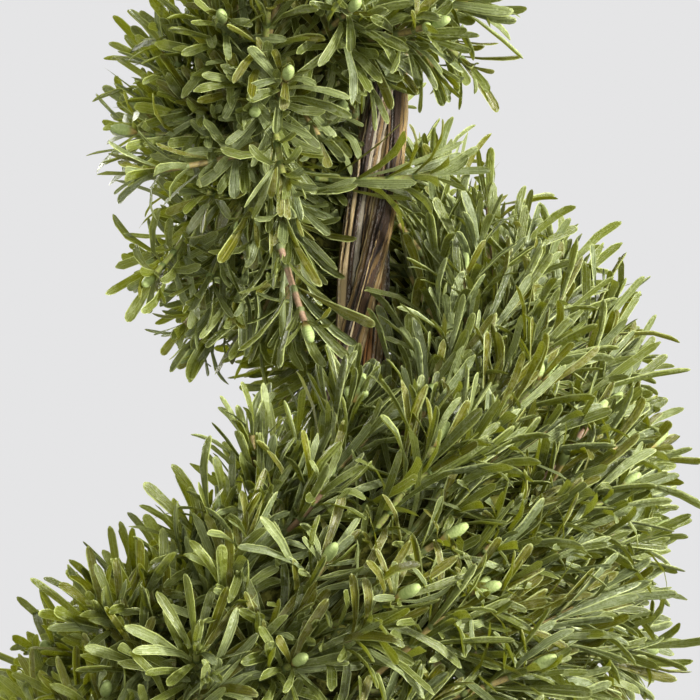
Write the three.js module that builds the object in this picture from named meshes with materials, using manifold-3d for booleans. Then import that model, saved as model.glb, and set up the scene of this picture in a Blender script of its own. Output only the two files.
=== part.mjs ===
// Artificial spiral topiary: a band of rosemary-leaved sprays that winds up a trunk of three twisted stems,
// standing in a plain clay pot. Millimetres, +Z up, origin at the middle of the pot's underside.
import * as THREE from "three";
import { mergeVertices } from "three/addons/utils/BufferGeometryUtils.js";
import Module from "manifold-3d";

const wasm = await Module();
wasm.setup();

// ---------- driving dimensions ----------

const clearance = 0.3; // between pieces that touch
const turn = 2 * Math.PI;

const pot = { height: 165, footRadius: 70, rimRadius: 97, wall: 7, rimHeight: 32, rimStep: 6, floor: 9, sides: 36 };
const fill = { top: 148, crown: 4, flatRadius: 40 };
const chamfer = 3; // on the pot's edges

const trunk = {
  stems: 3,
  footRadius: 8.6, // of one stem, above its flare
  topRadius: 3,
  top: 1174,
  flare: 0.3, // share by which a stem widens at the ground
  flareHeight: 32,
  lay: 300, // height in which the stems twist once round each other
  sway: 0.75, // sideways swing of the trunk's line, as a share of its radius
  swayLength: 551, // height of one full swing
  slack: 0.15, // added to the stems' distance for their flat faces
  sides: 8,
  steps: 42,
};

const band = {
  level: 752, // height of the band's middle where its reach is midReach
  midReach: 111,
  taper: 0.236, // loss of reach with height below level
  topTaper: 0.2, // and above it
  midHalf: 68, // half of the band's thickness where its reach is midReach
  halfPower: 0.45, // how the thickness follows the reach
  pitch: 264, // climb per turn at level
  widen: 0.038, // growth of the climb per turn below level
  tighten: 0.41, // rate at which the climb shrinks per turn above level
  first: -1.5, // turns from level to the lower end
  last: 2.25, // turns from level to the upper end
  phase: Math.PI, // direction of the band at level
  hub: 0.205, // share of the reach over which the section stays at full thickness
  roundness: 3, // power of the section's outline
  droop: 0.43, // fall of the section from the trunk out to its rim
  easeTurns: 0.16, // length of the rounded ends
  easeShare: 0.4, // size of the section at the very ends
  rimRoom: 8, // left free over the pot's rim
  midRoom: 2, // left free between two turns, and under the tip
  massesPerTurn: 4,
};

// The core lies under the dense outline by inset, or by insetShare of the reach where that is less.
const core = { inset: 24, insetShare: 0.3, leastReach: 7, leastHalf: 9, rimFaces: 6, trunkCorners: 4, steps: 5 };

const spray = {
  spacing: 57, // between sprays over the core
  fringe: 19, // how far the leaf tips stand beyond the band's dense outline
  sunk: 7, // depth of a twig's root in the core
  twigRadius: 2.4,
  twigShare: 0.6, // of the spray's length
  overlap: 9, // of the end leaf with its twig
  sideLeaves: 3,
  firstLeaf: 4, // distance of the first side leaf from the core
  leafStep: 3.5,
  spread: 0.75, // angle between a side leaf and its twig
  leafLength: 44,
  leafWidth: 15,
  leafThickness: 2.6,
  lift: 0.16, // upward bias of a spray's direction
  jitter: 0.16,
  stagger: 0.12, // shift of every other row, each way, as a share of the spacing
  tries: 4,
};

// Each ring of the tip's sprays is given by its angle from upright and its count. Its space falls outward by
// slope from a circle of slopeFrom round the trunk.
const tip = {
  coreHeight: 44,
  coreRadius: 14,
  reach: 33,
  slope: 0.9,
  slopeFrom: 12,
  rings: [[0, 1], [0.8, 4], [1.4, 4], [1.95, 3]],
};

const colours = { clay: 0xa8623f, soil: 0x3a2c20, bark: 0x4d3c2e, leaf: 0x66743c };

// ---------- small helpers ----------

// Seeded random numbers from 0 to 1.
function seeded(seed) {
  let state = seed >>> 0;
  return () => {
    state = (state + 0x6d2b79f5) >>> 0;
    let mixed = Math.imul(state ^ (state >>> 15), 1 | state);
    mixed = (mixed + Math.imul(mixed ^ (mixed >>> 7), 61 | mixed)) ^ mixed;
    return ((mixed ^ (mixed >>> 14)) >>> 0) / 4294967296;
  };
}

// Moves every vertex of a geometry by a function of its position.
function warp(geometry, move) {
  const places = geometry.attributes.position;
  const point = new THREE.Vector3();
  for (let i = 0; i < places.count; i++) {
    move(point.fromBufferAttribute(places, i));
    places.setXYZ(i, point.x, point.y, point.z);
  }
  return geometry;
}

function solidOf(geometry) {
  const bare = geometry.clone().deleteAttribute("normal").deleteAttribute("uv");
  const merged = mergeVertices(bare, 1e-4);
  return new wasm.Manifold(
    new wasm.Mesh({
      numProp: 3,
      vertProperties: new Float32Array(merged.attributes.position.array),
      triVerts: new Uint32Array(merged.index.array),
    }),
  );
}

function geometryOf(solid) {
  const mesh = solid.getMesh();
  const geometry = new THREE.BufferGeometry();
  geometry.setAttribute("position", new THREE.BufferAttribute(mesh.vertProperties, 3));
  geometry.setIndex(new THREE.BufferAttribute(mesh.triVerts, 1));
  geometry.computeVertexNormals();
  return geometry;
}

function named(name, geometry, colour, roughness) {
  const mesh = new THREE.Mesh(geometry, new THREE.MeshStandardMaterial({ color: colour, roughness, metalness: 0 }));
  mesh.name = name;
  return mesh;
}

// ---------- pot and its filling ----------

// Radius of the pot's outside at a height below the rim band.
function potOutside(height) {
  const share = height / pot.height;
  return THREE.MathUtils.lerp(pot.footRadius, pot.rimRadius - pot.rimStep, share);
}

function potMesh() {
  const rimFoot = pot.height - pot.rimHeight;
  const profile = [
    [0, 0],
    [pot.footRadius - chamfer, 0],
    [pot.footRadius, chamfer],
    [potOutside(rimFoot), rimFoot],
    [pot.rimRadius - chamfer, rimFoot + chamfer],
    [pot.rimRadius, pot.height - chamfer],
    [pot.rimRadius - chamfer, pot.height],
    [potOutside(pot.height) - pot.wall + chamfer, pot.height],
    [potOutside(pot.height) - pot.wall, pot.height - chamfer],
    [potOutside(pot.floor) - pot.wall, pot.floor],
    [0, pot.floor],
  ];
  const outline = profile.map(([radius, height]) => new THREE.Vector2(radius, height));
  const geometry = new THREE.LatheGeometry(outline, pot.sides).rotateX(Math.PI / 2);
  return named("pot", geometry, colours.clay, 0.85);
}

function fillMesh() {
  const inside = (height) => potOutside(height) - pot.wall - 2 * clearance;
  const foot = pot.floor + clearance;
  const profile = [
    [0, foot],
    [inside(foot), foot],
    [inside(fill.top - fill.crown), fill.top - fill.crown],
    [fill.flatRadius, fill.top],
    [0, fill.top],
  ];
  const outline = profile.map(([radius, height]) => new THREE.Vector2(radius, height));
  const geometry = new THREE.LatheGeometry(outline, pot.sides).rotateX(Math.PI / 2);
  return named("pot_filling", geometry, colours.soil, 0.95);
}

// ---------- trunk ----------

const trunkFoot = fill.top + clearance;

function stemRadius(height) {
  const share = THREE.MathUtils.clamp((height - trunkFoot) / (trunk.top - trunkFoot), 0, 1);
  const flare = 1 + trunk.flare * Math.exp((trunkFoot - height) / trunk.flareHeight);
  return THREE.MathUtils.lerp(trunk.footRadius, trunk.topRadius, share) * flare;
}

// Distance of a stem's line from the trunk's axis: the stems touch with the clearance between them.
function stemOrbit(height) {
  const chordLoss = Math.cos((Math.PI * (trunk.top - trunkFoot)) / trunk.lay / trunk.steps);
  return (2 * stemRadius(height) + clearance) / Math.sqrt(3) / chordLoss + trunk.slack;
}

function trunkRadius(height) {
  return stemOrbit(height) + stemRadius(height);
}

// Sideways place of the trunk's line, along X. It is nothing at the ground.
function sway(height) {
  return trunk.sway * trunkRadius(height) * Math.sin((turn * (height - trunkFoot)) / trunk.swayLength);
}

function stemMesh(index) {
  const bar = new THREE.CylinderGeometry(1, 1, 1, trunk.sides, trunk.steps).rotateX(Math.PI / 2);
  warp(bar, (point) => {
    const height = THREE.MathUtils.lerp(trunkFoot, trunk.top, point.z + 0.5);
    const angle = turn * (index / trunk.stems + (height - trunkFoot) / trunk.lay);
    const radius = stemRadius(height);
    point.set(
      point.x * radius + stemOrbit(height) * Math.cos(angle) + sway(height),
      point.y * radius + stemOrbit(height) * Math.sin(angle),
      height,
    );
  });
  return named(`trunk_stem_${index + 1}`, bar, colours.bark, 0.9);
}

// ---------- the winding band ----------

// Height, reach, half thickness and climb per turn of the band after a number of turns from its level.
function bandAt(turns) {
  const rise =
    turns < 0
      ? band.pitch * turns * (1 - (band.widen / 2) * turns)
      : (band.pitch / band.tighten) * (1 - Math.exp(-band.tighten * turns));
  const climb = band.pitch * (turns < 0 ? 1 - band.widen * turns : Math.exp(-band.tighten * turns));
  const full = band.midReach - (turns < 0 ? band.taper : band.topTaper) * rise;
  const along = THREE.MathUtils.smoothstep(Math.min(turns - band.first, band.last - turns), 0, band.easeTurns);
  const ease = THREE.MathUtils.lerp(band.easeShare, 1, along);
  return {
    height: band.level + rise,
    reach: full * ease,
    half: band.midHalf * (full / band.midReach) ** band.halfPower * ease,
    climb,
  };
}

function direction(turns) {
  return band.phase + turn * turns;
}

// Distance from the Z axis, towards a direction, at which the core clears the swaying trunk.
function innerRadius(height, angle) {
  const clear = trunkRadius(height) + 3 * clearance;
  const shift = sway(height);
  return shift * Math.cos(angle) + Math.sqrt(clear ** 2 - (shift * Math.sin(angle)) ** 2);
}

// How far the core lies under the band's dense outline.
function coreInset(reach) {
  return Math.min(core.inset, core.insetShare * reach);
}

// One point of the core's outline, as [distance from the axis, height]. Angle 90 degrees is the top, 0 the rim.
function outlinePoint(turns, angle) {
  const at = bandAt(turns);
  const inner = trunkRadius(at.height) + Math.abs(sway(at.height)) + 3 * clearance;
  const inset = coreInset(at.reach);
  const reach = Math.max(at.reach - inset, inner + core.leastReach);
  const half = Math.max(at.half - inset, core.leastHalf);
  const hub = Math.max(band.hub * at.reach, inner + 1);
  const power = 2 / band.roundness;
  const radius = hub + Math.max(reach - hub, 1) * Math.abs(Math.cos(angle)) ** power;
  const offset = half * Math.sign(Math.sin(angle)) * Math.abs(Math.sin(angle)) ** power;
  return [radius, at.height + offset + band.droop * (at.reach / 2 - radius)];
}

// Outline angle at a number of faces from the top.
function rimAngle(faces) {
  return Math.PI * (0.5 - faces / core.rimFaces);
}

// The core's section: corners from the top over the rim to the bottom, then up along the trunk.
function coreRing(turns) {
  const ring = [];
  for (let k = 0; k <= core.rimFaces; k++) ring.push(outlinePoint(turns, rimAngle(k)));
  const high = ring[0][1];
  const low = ring[core.rimFaces][1];
  for (let k = 0; k < core.trunkCorners; k++) {
    const height = THREE.MathUtils.lerp(low, high, k / (core.trunkCorners - 1));
    ring.push([innerRadius(height, direction(turns)), height]);
  }
  return ring;
}

// A point on the flat faces of the core, at a number of faces from the top.
function corePoint(turns, faces) {
  const corner = Math.min(Math.floor(faces), core.rimFaces - 1);
  const [radiusOn, heightOn] = outlinePoint(turns, rimAngle(corner));
  const [radiusPast, heightPast] = outlinePoint(turns, rimAngle(corner + 1));
  const share = faces - corner;
  return [THREE.MathUtils.lerp(radiusOn, radiusPast, share), THREE.MathUtils.lerp(heightOn, heightPast, share)];
}

// A mass of the band between two numbers of turns, with room to its neighbours at both ends.
function coreSolid(from, to) {
  const sides = core.rimFaces + 1 + core.trunkCorners;
  const bar = new THREE.CylinderGeometry(1, 1, 1, sides, core.steps).rotateX(Math.PI / 2);
  warp(bar, (point) => {
    const share = point.z + 0.5;
    const turns = THREE.MathUtils.lerp(from, to, share);
    const ring = coreRing(turns);
    const side = Math.round((Math.atan2(point.y, point.x) / turn) * sides + sides) % sides;
    const isCentre = Math.hypot(point.x, point.y) < 0.5;
    const mean = (column) => ring.reduce((sum, corner) => sum + corner[column], 0) / ring.length;
    const [radius, height] = isCentre ? [mean(0), mean(1)] : ring[side];
    const shift = share < 0.01 ? clearance : share > 0.99 ? -clearance : 0;
    const angle = direction(turns);
    point.set(
      radius * Math.cos(angle) - shift * Math.sin(angle),
      radius * Math.sin(angle) + shift * Math.cos(angle),
      height,
    );
  });
  return solidOf(bar);
}

// ---------- sprays ----------

// Height that divides the band's space from the tip's, at a distance from the axis.
function tipFloor(radius) {
  return trunk.top + clearance - tip.slope * Math.max(radius - tip.slopeFrom, 0);
}

// The room of one mass: between its end planes, outside the trunk and clear of the turns above and below.
function roomOf(from, to) {
  const ends = [
    { turns: from, sign: 1, isFree: from <= band.first },
    { turns: to, sign: -1, isFree: to >= band.last },
  ];
  const middle = (from + to) / 2;
  return (point) => {
    const radius = Math.hypot(point.x, point.y);
    const fromTrunk = Math.hypot(point.x - sway(point.z), point.y) - trunkRadius(point.z);
    if (fromTrunk < 2 * clearance || point.z > tipFloor(radius) - band.midRoom) return false;
    for (const end of ends) {
      const angle = direction(end.turns);
      const past = end.sign * (point.y * Math.cos(angle) - point.x * Math.sin(angle));
      if (!end.isFree && past < clearance) return false;
    }
    const turned = Math.atan2(point.y, point.x) - direction(middle);
    const turns = middle + (turned - turn * Math.round(turned / turn)) / turn;
    const at = bandAt(turns);
    const offset = point.z - at.height - band.droop * (at.reach / 2 - radius);
    const room = (at.climb - band.midRoom) / 2;
    const isOverLast = turns - 1 < band.first ? point.z > pot.height + band.rimRoom : offset > -room;
    const isUnderNext = turns + 1 > band.last || offset < room;
    return isOverLast && isUnderNext;
  };
}

function fits(geometry, isInside) {
  const places = geometry.attributes.position;
  const point = new THREE.Vector3();
  for (let i = 0; i < places.count; i++) if (!isInside(point.fromBufferAttribute(places, i))) return false;
  return true;
}

// Turns a geometry whose length runs along +Z from the origin so that it grows from root towards heading.
function grow(geometry, root, heading) {
  const up = new THREE.Vector3(0, 0, 1);
  return geometry.applyQuaternion(new THREE.Quaternion().setFromUnitVectors(up, heading)).translate(...root);
}

function leafGeometry(length) {
  const blade = new THREE.OctahedronGeometry(1);
  return blade.scale(spray.leafWidth / 2, spray.leafThickness / 2, length / 2).translate(0, 0, length / 2);
}

function twigGeometry(length) {
  const shape = new THREE.ConeGeometry(spray.twigRadius, length, 3).rotateX(Math.PI / 2);
  return shape.translate(0, 0, length / 2);
}

// One spray: a three-sided twig with leaves fused on it. Pieces that would leave the room are skipped.
function spraySolids({ root, heading, length, sunk }, random, isInside) {
  const base = root.clone().addScaledVector(heading, -sunk);
  const twigLength = length * spray.twigShare + sunk;
  const twig = grow(twigGeometry(twigLength), base, heading);
  if (!fits(twig, isInside)) return [];
  const solids = [solidOf(twig)];
  const aside = new THREE.Vector3(random() - 0.5, random() - 0.5, random() - 0.5).cross(heading).normalize();
  const addLeaf = (distance, around, tilt, size) => {
    for (let attempt = 0; attempt < spray.tries; attempt++) {
      const side = aside.clone().applyAxisAngle(heading, around + (random() - 0.5) * (0.5 + attempt));
      const aim = heading.clone().applyAxisAngle(side, tilt * (1 - 0.2 * attempt));
      const foot = base.clone().addScaledVector(heading, distance);
      const leaf = grow(leafGeometry(size), foot, aim);
      if (fits(leaf, isInside)) {
        solids.push(solidOf(leaf));
        return;
      }
    }
  };
  const endLeaf = length * (1 - spray.twigShare) + spray.overlap;
  addLeaf(twigLength - spray.overlap, 0, 0.08, endLeaf);
  for (let k = 0; k < spray.sideLeaves; k++) {
    const size = Math.min(spray.leafLength, length * 0.85) * (0.85 + 0.3 * random());
    const tilt = spray.spread * (0.8 + 0.4 * random());
    addLeaf(sunk + spray.firstLeaf + spray.leafStep * k, (turn * k) / spray.sideLeaves, tilt, size);
  }
  return solids;
}

// Roots, headings and lengths of the sprays over one mass, evenly spaced in rows that run with the band.
function sprayPlaces(from, to, random) {
  const places = [];
  const middle = (from + to) / 2;
  const faceLengths = [];
  for (let k = 0; k < core.rimFaces; k++) {
    const [radiusOn, heightOn] = corePoint(middle, k);
    const [radiusPast, heightPast] = corePoint(middle, k + 1);
    faceLengths.push(Math.hypot(radiusPast - radiusOn, heightPast - heightOn));
  }
  const total = faceLengths.reduce((sum, length) => sum + length, 0);
  const spacing = Math.min(spray.spacing, 0.45 * bandAt(middle).reach + 14);
  const rows = Math.max(3, Math.round(total / spacing));
  for (let row = 0; row < rows; row++) {
    const faces = facesWalked(faceLengths, (total * (row + 0.5)) / rows);
    const columns = Math.max(1, Math.round((corePoint(middle, faces)[0] * turn * (to - from)) / spacing));
    for (let column = 0; column < columns; column++) {
      const stagger = row % 2 ? spray.stagger : -spray.stagger;
      const share = (column + 0.5 + stagger + (random() - 0.5) * 2 * spray.jitter) / columns;
      places.push(placeOn(THREE.MathUtils.lerp(from, to, share), faces, random));
    }
  }
  return places;
}

// The number of faces passed after a distance over the rim.
function facesWalked(faceLengths, distance) {
  let left = distance;
  for (let k = 0; k < faceLengths.length; k++) {
    if (left <= faceLengths[k]) return k + left / faceLengths[k];
    left -= faceLengths[k];
  }
  return faceLengths.length;
}

function placeOn(turns, faces, random) {
  const step = 0.5;
  const [radius, height] = corePoint(turns, faces);
  const [radiusOn, heightOn] = corePoint(turns, Math.min(faces + step, core.rimFaces));
  const [radiusBack, heightBack] = corePoint(turns, Math.max(faces - step, 0));
  const around = direction(turns);
  const outward = new THREE.Vector2(heightBack - heightOn, radiusOn - radiusBack).normalize();
  const heading = new THREE.Vector3(outward.x * Math.cos(around), outward.x * Math.sin(around), outward.y + spray.lift);
  const shake = () => (random() - 0.5) * 2 * spray.jitter;
  heading.add(new THREE.Vector3(shake(), shake(), shake())).normalize();
  const root = new THREE.Vector3(radius * Math.cos(around), radius * Math.sin(around), height);
  const depth = radius - innerRadius(height, around);
  return { root, heading, length: coreInset(bandAt(turns).reach) + spray.fringe, sunk: Math.min(spray.sunk, depth / 2) };
}

// Sprays on the flat end of the band, pointing away along it.
function endPlaces(turns, sense, random) {
  const around = direction(turns);
  const along = new THREE.Vector3(-sense * Math.sin(around), sense * Math.cos(around), 0);
  const [, high] = outlinePoint(turns, rimAngle(0));
  const [, low] = outlinePoint(turns, rimAngle(core.rimFaces));
  return [0.25, 0.5, 0.75].map((share) => {
    const height = THREE.MathUtils.lerp(low, high, share);
    const radius = THREE.MathUtils.lerp(innerRadius(height, around), outlinePoint(turns, 0)[0], 0.5);
    const root = new THREE.Vector3(radius * Math.cos(around), radius * Math.sin(around), height);
    const heading = along.clone().add(new THREE.Vector3(0, 0, share - 0.5 + 0.2 * random())).normalize();
    return { root, heading, length: coreInset(bandAt(turns).reach) + spray.fringe, sunk: spray.sunk };
  });
}

// Fuses a core with its sprays and keeps the one body that holds them all.
function fused(solids) {
  const bodies = wasm.Manifold.union(solids).decompose();
  return bodies.reduce((best, body) => (body.volume() > best.volume() ? body : best));
}

function bandMass(index, from, to) {
  const random = seeded(index);
  const isInside = roomOf(from, to);
  const solids = [coreSolid(from, to)];
  const places = sprayPlaces(from, to, random);
  if (from <= band.first) places.push(...endPlaces(from, -1, random));
  if (to >= band.last) places.push(...endPlaces(to, 1, random));
  for (const place of places) solids.push(...spraySolids(place, random, isInside));
  const name = `foliage_${String(index + 1).padStart(2, "0")}`;
  return named(name, geometryOf(fused(solids)), colours.leaf, 0.6);
}

// The tuft that closes the top: a small core over the trunk's end, with sprays in rings round an upright one.
function tipMass() {
  const random = seeded(trunk.top);
  const foot = trunk.top + clearance;
  const middle = new THREE.Vector3(sway(trunk.top), 0, foot + tip.coreHeight / 2);
  const bud = new THREE.SphereGeometry(1, 8, 6).rotateX(Math.PI / 2);
  bud.scale(tip.coreRadius, tip.coreRadius, tip.coreHeight / 2).translate(...middle);
  const isInside = (point) => {
    const fromTrunk = Math.hypot(point.x - sway(point.z), point.y) - trunkRadius(point.z);
    const isClear = point.z > foot || fromTrunk > 2 * clearance;
    return isClear && point.z > tipFloor(Math.hypot(point.x, point.y));
  };
  const solids = [solidOf(bud)];
  for (const [tilt, count] of tip.rings) {
    for (let k = 0; k < count; k++) {
      const around = (turn * (k + 0.5 * random())) / count;
      const flat = Math.sin(tilt);
      const heading = new THREE.Vector3(flat * Math.cos(around), flat * Math.sin(around), Math.cos(tilt));
      const rise = Math.cos(tilt) * (tip.coreHeight / 2 - spray.sunk);
      const root = middle.clone().add(new THREE.Vector3(0, 0, rise)).addScaledVector(heading, 0.5 * tip.coreRadius);
      solids.push(...spraySolids({ root, heading, length: tip.reach, sunk: spray.sunk }, random, isInside));
    }
  }
  return named("foliage_tip", geometryOf(fused(solids)), colours.leaf, 0.6);
}

// ---------- the whole tree ----------

const topiary = new THREE.Group();
topiary.add(potMesh(), fillMesh());
for (let k = 0; k < trunk.stems; k++) topiary.add(stemMesh(k));
const masses = Math.round((band.last - band.first) * band.massesPerTurn);
for (let k = 0; k < masses; k++) {
  const from = band.first + k / band.massesPerTurn;
  topiary.add(bandMass(k, from, from + 1 / band.massesPerTurn));
}
topiary.add(tipMass());

export default topiary;
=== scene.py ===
from math import atan2, copysign, cos, exp, floor, hypot, pi, sin, sqrt

import bmesh
import bpy
import numpy as np
from mathutils import Matrix, Vector, noise


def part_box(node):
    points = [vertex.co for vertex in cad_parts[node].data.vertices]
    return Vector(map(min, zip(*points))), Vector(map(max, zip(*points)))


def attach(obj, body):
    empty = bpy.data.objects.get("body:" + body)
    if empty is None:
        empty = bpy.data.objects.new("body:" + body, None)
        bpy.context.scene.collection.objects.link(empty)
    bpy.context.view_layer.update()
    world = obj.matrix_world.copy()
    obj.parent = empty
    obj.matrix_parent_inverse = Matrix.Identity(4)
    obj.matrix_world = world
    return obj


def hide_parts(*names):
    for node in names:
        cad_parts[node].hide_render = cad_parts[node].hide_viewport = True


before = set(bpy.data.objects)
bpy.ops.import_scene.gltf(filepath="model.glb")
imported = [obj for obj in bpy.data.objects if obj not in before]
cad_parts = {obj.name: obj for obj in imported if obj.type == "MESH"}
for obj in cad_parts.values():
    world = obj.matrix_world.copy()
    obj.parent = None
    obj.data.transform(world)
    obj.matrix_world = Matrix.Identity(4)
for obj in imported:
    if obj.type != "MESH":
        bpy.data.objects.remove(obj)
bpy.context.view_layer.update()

turn = 2 * pi
up = Vector((0, 0, 1))


# a shader socket whose maths reads as plain arithmetic
class Wire:
    def __init__(self, shader, socket):
        self.shader = shader
        self.socket = socket

    def maths(self, operation, first, second=0.0):
        return self.shader.add("ShaderNodeMath", {0: first, 1: second}, operation=operation)

    def __add__(self, other):
        return self.maths("ADD", self, other)

    __radd__ = __add__

    def __sub__(self, other):
        return self.maths("SUBTRACT", self, other)

    def __rsub__(self, other):
        return self.maths("SUBTRACT", other, self)

    def __mul__(self, other):
        return self.maths("MULTIPLY", self, other)

    __rmul__ = __mul__

    def __abs__(self):
        return self.maths("ABSOLUTE", self)

    def over(self, other):
        return self.maths("MAXIMUM", self, other)


class Shader:
    def __init__(self, owner):
        self.owner = owner
        owner.use_nodes = True
        self.tree = owner.node_tree
        self.tree.nodes.clear()

    # adds a node with the values or wires of its sockets
    def add(self, kind, sockets=None, out=0, **settings):
        node = self.tree.nodes.new(kind)
        for key, value in settings.items():
            setattr(node, key, value)
        for key, value in (sockets or {}).items():
            if isinstance(value, Wire):
                self.tree.links.new(value.socket, node.inputs[key])
            else:
                node.inputs[key].default_value = value
        return Wire(self, node.outputs[out]) if node.outputs else None

    def mix(self, factor, first, second):
        return self.add("ShaderNodeMix", {0: factor, 6: first, 7: second}, 2, data_type="RGBA")

    # eased step of a value from 0 at low to 1 at high
    def step(self, value, low, high):
        sockets = {"Value": value, "From Min": low, "From Max": high}
        return self.add("ShaderNodeMapRange", sockets, interpolation_type="SMOOTHSTEP")

    def noise(self, place, scale, detail=3.0, roughness=0.5):
        sockets = {"Vector": place, "Scale": scale, "Detail": detail, "Roughness": roughness}
        return self.add("ShaderNodeTexNoise", sockets)

    def stretched(self, place, scale):
        return self.add("ShaderNodeMapping", {"Vector": place, "Scale": scale})

    def place(self):
        return self.add("ShaderNodeTexCoord", out="Object")

    # the spot on the map of copied shapes
    def spot(self):
        return self.add("ShaderNodeUVMap", uv_map=shapeMap)

    def part(self, axis, vector):
        return self.add("ShaderNodeSeparateXYZ", {0: vector}, axis)

    def bump(self, height, strength, distance):
        sockets = {"Height": height, "Strength": strength, "Distance": distance}
        return self.add("ShaderNodeBump", sockets)

    def principled(self, sockets):
        return self.add("ShaderNodeBsdfPrincipled", sockets)

    # ends the shader and gives its owner
    def finish(self, surface, output="ShaderNodeOutputMaterial"):
        self.add(output, {"Surface": surface})
        return self.owner

    def surface(self, sockets):
        return self.finish(self.principled(sockets))


shapeMap = "OFBake"  # the map on copied shapes


def newShader(name):
    return Shader(bpy.data.materials.new(name))


# base colour from the screen values 0 to 255
def paint(red, green, blue):
    return tuple(((c / 255 + 0.055) / 1.055) ** 2.4 for c in (red, green, blue)) + (1.0,)


def lerp(low, high, share):
    return low + (high - low) * share


def smooth(value, low, high):
    share = min(max((value - low) / (high - low), 0.0), 1.0)
    return share * share * (3 - 2 * share)


def addObject(name, data):
    thing = bpy.data.objects.new(name, data)
    bpy.context.scene.collection.objects.link(thing)
    return thing


# a finished piece
def addPiece(name, mesh, material, slot, *nodes):
    piece = addObject(name, mesh)
    mesh.materials.append(material)
    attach(piece, "root")
    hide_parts(*nodes)


# merges doubles, closes what is open and turns the faces outwards
def close(bm):
    bmesh.ops.remove_doubles(bm, verts=bm.verts, dist=1e-5)
    bmesh.ops.holes_fill(bm, edges=bm.edges, sides=0)
    bmesh.ops.recalc_face_normals(bm, faces=bm.faces)


# gives every corner its spot on the map
def mapShape(bm, spotAt):
    layer = bm.loops.layers.uv.new(shapeMap)
    for face in bm.faces:
        for loop in face.loops:
            loop[layer].uv = spotAt(loop.vert.co)


def meshOf(bm, name):
    mesh = bpy.data.meshes.new(name)
    bm.to_mesh(mesh)
    bm.free()
    mesh.shade_smooth()
    return mesh


# a small shape of four-sided faces, as arrays that can be copied many times
class Shape:
    def __init__(self, bm):
        bm.verts.index_update()
        layer = bm.loops.layers.uv.active
        self.places = np.array([v.co for v in bm.verts], dtype=np.float32)
        self.faces = np.array([[v.index for v in f.verts] for f in bm.faces], dtype=np.int32)
        spots = [[loop[layer].uv for loop in f.loops] for f in bm.faces]
        self.spots = np.array(spots, dtype=np.float32)
        bm.free()


# copies of small shapes that become one mesh
class Pile:
    def __init__(self):
        self.copies = {}

    def add(self, shape, matrix):
        self.copies.setdefault(shape, []).append(matrix)

    def mesh(self, name):
        places, faces, spots, count = [], [], [], 0
        for shape, matrices in self.copies.items():
            turned = np.array([m[:3] for m in matrices], dtype=np.float32)
            moved = np.einsum("mij,vj->mvi", turned[:, :, :3], shape.places) + turned[:, None, :, 3]
            starts = count + len(shape.places) * np.arange(len(matrices))
            places.append(moved.reshape(-1, 3))
            faces.append((shape.faces[None] + starts[:, None, None]).reshape(-1, 4))
            spots.append(np.tile(shape.spots.reshape(-1, 2), (len(matrices), 1)))
            count += len(shape.places) * len(matrices)
        places, faces, spots = (np.concatenate(part) for part in (places, faces, spots))
        mesh = bpy.data.meshes.new(name)
        mesh.vertices.add(len(places))
        mesh.vertices.foreach_set("co", places.ravel())
        mesh.loops.add(faces.size)
        mesh.loops.foreach_set("vertex_index", faces.ravel())
        mesh.polygons.add(len(faces))
        mesh.polygons.foreach_set("loop_start", np.arange(0, faces.size, 4, dtype=np.int32))
        mesh.uv_layers.new(name=shapeMap).uv.foreach_set("vector", spots.ravel())
        mesh.update(calc_edges=True)
        mesh.shade_smooth()
        print(f"{name}: {2 * len(faces)} triangles")
        return mesh


# the camera and the studio

studio = {
    "lens": 140,
    "distance": 1.213,
    "beside": -0.0087,  # the middle of the view lies left of the trunk
    "below": 0.102,  # and below the band's level
    "floorRadius": 3.0,
    "floorFades": (0.4, 2.4),  # where it passes into the backdrop's colour
    "backdrop": paint(229, 229, 230),
    "floor": paint(110, 110, 110),
    "floorGlow": paint(140, 140, 141),
    "ambient": 0.35,  # strength of the backdrop's light
    "warmth": paint(229, 227, 200),  # and its colour
    "glossy": 0.8,  # as glossy surfaces see it
    "seen": 1.0,  # as the camera sees it
}

band = {
    "level": 0.752,  # height of the band's middle where its reach is midReach
    "midReach": 0.111,
    "midHalf": 0.068,  # half of the thickness there
    "taper": 0.236,  # loss of reach with height below level
    "topTaper": 0.2,  # and above it
    "halfPower": 0.45,  # how the thickness follows the reach
    "pitch": 0.264,  # climb per turn at level
    "widen": 0.038,  # its growth per turn below level
    "tighten": 0.41,  # rate of its shrinking above level
    "first": -1.5,  # turns from level to the lower end
    "last": 2.25,  # turns from level to the upper end
    "phase": pi,  # direction of the band at level
    "hub": 0.205,  # share of the reach that has the full thickness
    "roundness": 3,  # power of the section's outline
    "droop": 0.43,  # fall of the section from the trunk out to its rim
    "easeTurns": 0.16,  # length of the rounded ends
    "easeShare": 0.4,  # size of the section at the very ends
    "massesPerTurn": 4,
    "leastDepth": 0.004,  # least distance of the rim from the trunk
    "leastHalf": 0.006,
    "hubGap": 0.001,
}

data = bpy.data.cameras.new("camera")
data.lens = studio["lens"]
camera = addObject("camera", data)
camera.location = (studio["beside"], -studio["distance"], band["level"] - studio["below"])
camera.rotation_euler = (pi / 2, 0, 0)
bpy.context.scene.camera = camera

world = bpy.data.worlds.new("studio")
bpy.context.scene.world = world
shader = Shader(world)
isSeen = shader.add("ShaderNodeLightPath", out="Is Camera Ray")
isGlossy = shader.add("ShaderNodeLightPath", out="Is Glossy Ray")
ambient, glossy, seen = studio["ambient"], studio["glossy"], studio["seen"]
sockets = {
    "Color": shader.mix(isSeen, studio["warmth"], studio["backdrop"]),
    "Strength": ambient + isSeen * (seen - ambient) + isGlossy * (glossy - ambient),
}
shader.finish(shader.add("ShaderNodeBackground", sockets), "ShaderNodeOutputWorld")

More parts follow.
